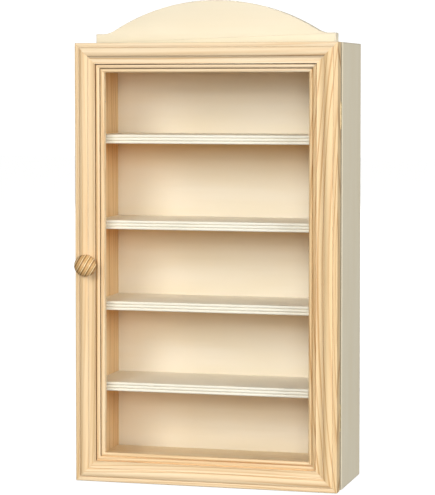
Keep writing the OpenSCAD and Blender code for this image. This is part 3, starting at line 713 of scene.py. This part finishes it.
def shelfBoard(name, node, paint):
    # A rectangle of depth and height whose front edge is a row of arcs with a narrow groove between them,
    # carried from left to right
    low, high = nodeBox(node)
    reed = (high[2] - low[2]) / shelfLook["reeds"]
    foot = low[1] + shelfLook["depth"]
    half = shelfLook["quirk"] / 2
    edge = []
    for i in range(shelfLook["reeds"] - 1, -1, -1):
        z = low[2] + i * reed
        edge.append(arcThrough((foot, z + reed - half), (foot, z + half), -shelfLook["depth"], 16))
        if i:
            edge.append([[foot + shelfLook["quirkDepth"], z]])
    section = np.concatenate([*edge, [[high[1], low[2]], [high[1], high[2]]]])
    section = addStops(softenCorners(section, shelfLook["arris"]), shelfLook["arrisReach"])
    piece = carrySection(name, section, low[0], high[0], shelfLook, placeAcross, [paint])
    return settle(piece, "case", "painted_wood", node)


for number, node in enumerate(shelfNodes[::-1], 1):
    shelfPaint = paintMaterial(f"paintShelf{number}", {**paintShelf, "seed": 3.0 * number})
    shelfBoard(f"reededShelf{number}", node, shelfPaint)
print("stage: shelves")


# Crest: a board cut to a flat arch between two small hollows and square shoulders

crestLook = {
    "shoulder": 6.0, "shoulderLength": 4.2, "cove": 15.0,
    "arris": 0.45, "arrisReach": 0.5, "grooveReach": 0.6,
}
crestLow, crestHigh = nodeBox("crest_board")


def crestBoard(look):
    # The arch's circle touches the circles of the two hollows, so their centres lie as far apart as the sum
    # of the two radii; the outline is carried from front to back
    halfWidth, height = crestHigh[0], crestHigh[2] - crestLow[2]
    coveX, coveZ, r = halfWidth - look["shoulderLength"], look["shoulder"] + look["cove"], look["cove"]
    drop = coveZ - height
    archRadius = (coveX ** 2 + drop ** 2 - r ** 2) / (2 * (r - drop))
    archZ = height - archRadius
    swing = math.degrees(math.atan2(coveX, coveZ - archZ))
    rightCove = arcAbout((coveX, coveZ), r, -90, -90 - swing, 24)
    arch = arcAbout((0, archZ), archRadius, 90 - swing, 90 + swing, 120)[1:-1]
    leftCove = rightCove[::-1] * [-1, 1]
    outline = np.concatenate([
        [[halfWidth, 0], [halfWidth, look["shoulder"]]], rightCove, arch, leftCove,
        [[-halfWidth, look["shoulder"]], [-halfWidth, 0]],
    ])
    outline = addStops(softenCorners(outline, look["arris"]), look["arrisReach"])
    piece = carrySection("crestBoard", outline, crestLow[1], crestHigh[1], look,
                         lambda x, z, t: np.stack([x, t, crestLow[2] + z], -1),
                         [paintMaterial("paintCrest", paintCrest)])
    return settle(piece, "case", "painted_wood", "crest_board")


crestBoard(crestLook)
print("stage: crest")


# Screw for the knob, seen from inside the open door: a steel screw with a raised head

screwLow, screwHigh = nodeBox("knob_screw")
screwLook = {
    "rings": 20, "segments": 96, "head": 4.8, "rise": 0.75, "roundness": 2.4, "sunk": 0.3, "rim": 0.02,
    "slot": 0.45, "slotDepth": 0.55, "slotFloor": 0.2, "slotWay": (0.94, 0.34), "slotEdge": 0.04,
}


def raisedScrew(name, look, material):
    # Height over the wood is a flat dome of the distance from the axis, less a slot as wide as given
    rings, segments = look["rings"], look["segments"]
    r = np.linspace(look["head"] / 2, 0, rings)[:-1, None]
    a = np.linspace(0, 2 * math.pi, segments, endpoint=False)[None]
    x, z = r * np.cos(a), r * np.sin(a)
    dome = look["rise"] * (1 - (r / r.max()) ** look["roundness"])
    across = np.abs(x * look["slotWay"][0] + z * look["slotWay"][1])
    wall = 1 / (1 + np.exp((across - look["slot"]) / look["slotEdge"]))
    # The slot ends where the dome is lower than the rim, and goes no deeper than its floor
    height = np.maximum(dome - look["slotDepth"] * wall * (dome > look["rim"]), -look["slotFloor"])
    centre = np.array([(screwLow[0] + screwHigh[0]) / 2, screwHigh[1], (screwLow[2] + screwHigh[2]) / 2])
    foot = np.stack([x[0], np.full(segments, -look["sunk"]), z[0]], -1)
    cap = np.stack([x, height, z], -1).reshape(-1, 3)
    ends = [[0, -look["sunk"], 0], [0, look["rise"] - look["slotDepth"], 0]]
    points = np.concatenate([foot, cap, ends]) + centre
    return finishMesh(name, points, ringFaces(rings, segments), [material])


def metalMaterial(name, look):
    # Drawn or pressed metal with fine scratches: colour and roughness wander a little over its face
    material, tree, shader = newMaterial(name, {"Metallic": 1.0})
    add = partial(addNode, tree)
    place = add("TexCoord").outputs["Object"]
    metal = add("Mapping", {"Scale": (1 / mm,) * 3, "Location": (look["seed"],) * 3}, {"Vector": place})
    cloud = add("TexNoise", {"Scale": 0.35, "Detail": 3.0, "Roughness": 0.6}, {"Vector": metal})
    scratch = add("TexNoise", {"Scale": 1.0, "Detail": 2.0}, {"Vector": add(
        "Mapping", {"Scale": (6.0, 6.0, 0.5)}, {"Vector": metal})})
    tone = add("MapRange", {"From Min": 0.35, "From Max": 0.7}, {0: cloud})
    colour = add("Mix", {"data_type": "RGBA", 6: look["colour"], 7: look["dull"]}, {0: tone})
    gloss = add("MapRange", {
        "From Min": 0.3, "From Max": 0.7, "To Min": look["rough"] - 0.06, "To Max": look["rough"] + 0.08,
    }, {0: scratch})
    bump = add("Bump", {"Strength": 0.15, "Distance": 0.02 * mm}, {"Height": scratch})
    feed(tree, shader, {"Base Color": colour, "Roughness": gloss, "Normal": bump})
    return material


brass = metalMaterial("brassDulled", {"colour": "#d0bc93", "dull": "#b7a074", "rough": 0.45, "seed": 1.0})
steel = metalMaterial("steelBright", {"colour": "#c8cacb", "dull": "#a9abac", "rough": 0.34, "seed": 2.0})
nickel = metalMaterial("nickelPlate", {"colour": "#d6d4cf", "dull": "#bdbab4", "rough": 0.24, "seed": 3.0})
settle(raisedScrew("knobScrewHead", screwLook, steel), "door", "steel", "knob_screw")


def glassMaterial(name):
    # Clear float glass, 2 mm: seen through, with a faint reflection that grows towards grazing views
    material, tree, shader = newMaterial(name, {})
    tree.nodes.remove(shader)
    add = partial(addNode, tree)
    clear = add("BsdfTransparent", {"Color": "#feffff"})
    gloss = add("BsdfGlossy", {"Color": "#ffffff", "Roughness": 0.02})
    # The facing weight is the same on both sides of the pane, where a Fresnel one turns dark on the way out
    mirror = add("LayerWeight", {"Blend": 0.07}).outputs["Facing"]
    mix = add("MixShader", links={0: mirror, 1: clear, 2: gloss})
    feed(tree, tree.nodes["Material Output"], {"Surface": mix})
    return material


def dress(material, *nodes):
    # A node whose shape is right keeps it and gets a better material
    for node in nodes:
        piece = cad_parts[node]
        piece.data.materials.clear()
        piece.data.materials.append(material)


stripWood = {**railTopWood, "pith": (40.0, 30.0, 0.0), "seed": 11.0}
dress(pineMaterial("pineStripRails", stripWood), "glazing_strip_top", "glazing_strip_bottom")
dress(pineMaterial("pineStripStiles", {**stripWood, "along": "Z", "seed": 12.0}),
      "glazing_strip_left", "glazing_strip_right")
dress(glassMaterial("glassClear"), "glass_pane")
dress(paintMaterial("paintPanel", paintPanel), "back_panel")
for hinge in ("hinge_upper", "hinge_lower"):
    dress(brass, hinge + "_case_leaf", hinge + "_door_leaf", hinge + "_pin")
dress(brass, "hinge_screws_case", "hinge_screws_door")
dress(steel, "carcass_nails", "back_panel_pins", "mitre_v_nails", "glazing_pins", "catch_strike")
dress(nickel, "catch_magnet")
beechDowel = {
    "along": "Z", "pith": (20.0, 30.0, 0.0), "ring": 1.6, "waver": 0.6,
    "early": "#e3c9a0", "earlyWarm": "#d9bb8c", "late": "#c7a371",
}
dress(pineMaterial("beechDowel", beechDowel), "crest_dowels")
print("stage: small parts")


# Floor and light, in metres: a plain near-white floor, large soft lamps in front, to the right and behind,
# and a pale room

studio = {
    "keyPlace": (-0.58, -2.72, 1.26), "keyPower": 39.0,
    "frontPlace": (0.62, -2.92, 0.40), "frontPower": 34.0,
    "rightPlace": (2.72, -1.26, 0.40), "rightPower": 60.0,
    "backPlace": (-1.1, 2.75, 0.9), "backPower": 30.0,
    "lampSize": 1.1, "aim": (0, 0, 0.14), "warm": "#fffaf2", "neutral": "#ffffff",
    "sky": 0.18, "ground": 0.10, "seenRoom": 1.1, "floorReach": 6.0,
}
floorCorners = np.array([[-1, -1, 0], [1, -1, 0], [1, 1, 0], [-1, 1, 0]]) * studio["floorReach"]
floorMesh = bpy.data.meshes.new("floor")
floorMesh.from_pydata(floorCorners.tolist(), [], [[0, 1, 2, 3]])
floor = bpy.data.objects.new("floor", floorMesh)
bpy.context.scene.collection.objects.link(floor)
paperFloor = newMaterial("paperFloor", {
    "Base Color": linearColour("#8c8c8a"), "Roughness": 0.9, "Specular IOR Level": 0.0,
    "Emission Color": (1, 1, 1, 1), "Emission Strength": 0.95,
})[0]
floorMesh.materials.append(paperFloor)
floor.visible_diffuse = False
floor.visible_glossy = False


def areaLamp(name, place, power, colour):
    data = bpy.data.lights.new(name, "AREA")
    data.shape = "SQUARE"
    data.size = studio["lampSize"]
    data.energy = power
    data.color = linearColour(colour)[:3]
    lamp = bpy.data.objects.new(name, data)
    bpy.context.scene.collection.objects.link(lamp)
    lamp.location = place
    towards = np.array(studio["aim"]) - np.array(place)
    flat = math.hypot(towards[0], towards[1])
    lamp.rotation_euler = (math.atan2(flat, -towards[2]), 0, math.atan2(-towards[0], towards[1]))


areaLamp("keyLamp", studio["keyPlace"], studio["keyPower"], studio["warm"])
areaLamp("frontLamp", studio["frontPlace"], studio["frontPower"], studio["warm"])
areaLamp("rightLamp", studio["rightPlace"], studio["rightPower"], studio["neutral"])
areaLamp("backLamp", studio["backPlace"], studio["backPower"], studio["neutral"])

world = bpy.data.worlds.new("room")
bpy.context.scene.world = world
world.use_nodes = True
add = partial(addNode, world.node_tree)
direction = add("TexCoord").outputs["Generated"]
height = add("SeparateXYZ", links={0: direction}).outputs["Z"]
room = add("MapRange", {
    "interpolation_type": "SMOOTHSTEP",
    "From Min": -0.5, "From Max": 0.5, "To Min": studio["ground"], "To Max": studio["sky"],
}, {0: height})
seen = add("LightPath").outputs["Is Camera Ray"]
# What the camera sees past the floor is as white as the floor
strength = add("Mix", {"data_type": "FLOAT", 3: studio["seenRoom"]}, {0: seen, 2: room})
background = world.node_tree.nodes["Background"]
background.inputs["Color"].default_value = (1, 1, 1, 1)
feed(world.node_tree, background, {"Strength": strength})

bpy.context.scene.view_settings.view_transform = "Standard"
bpy.context.scene.view_settings.look = "None"
print("stage: light")
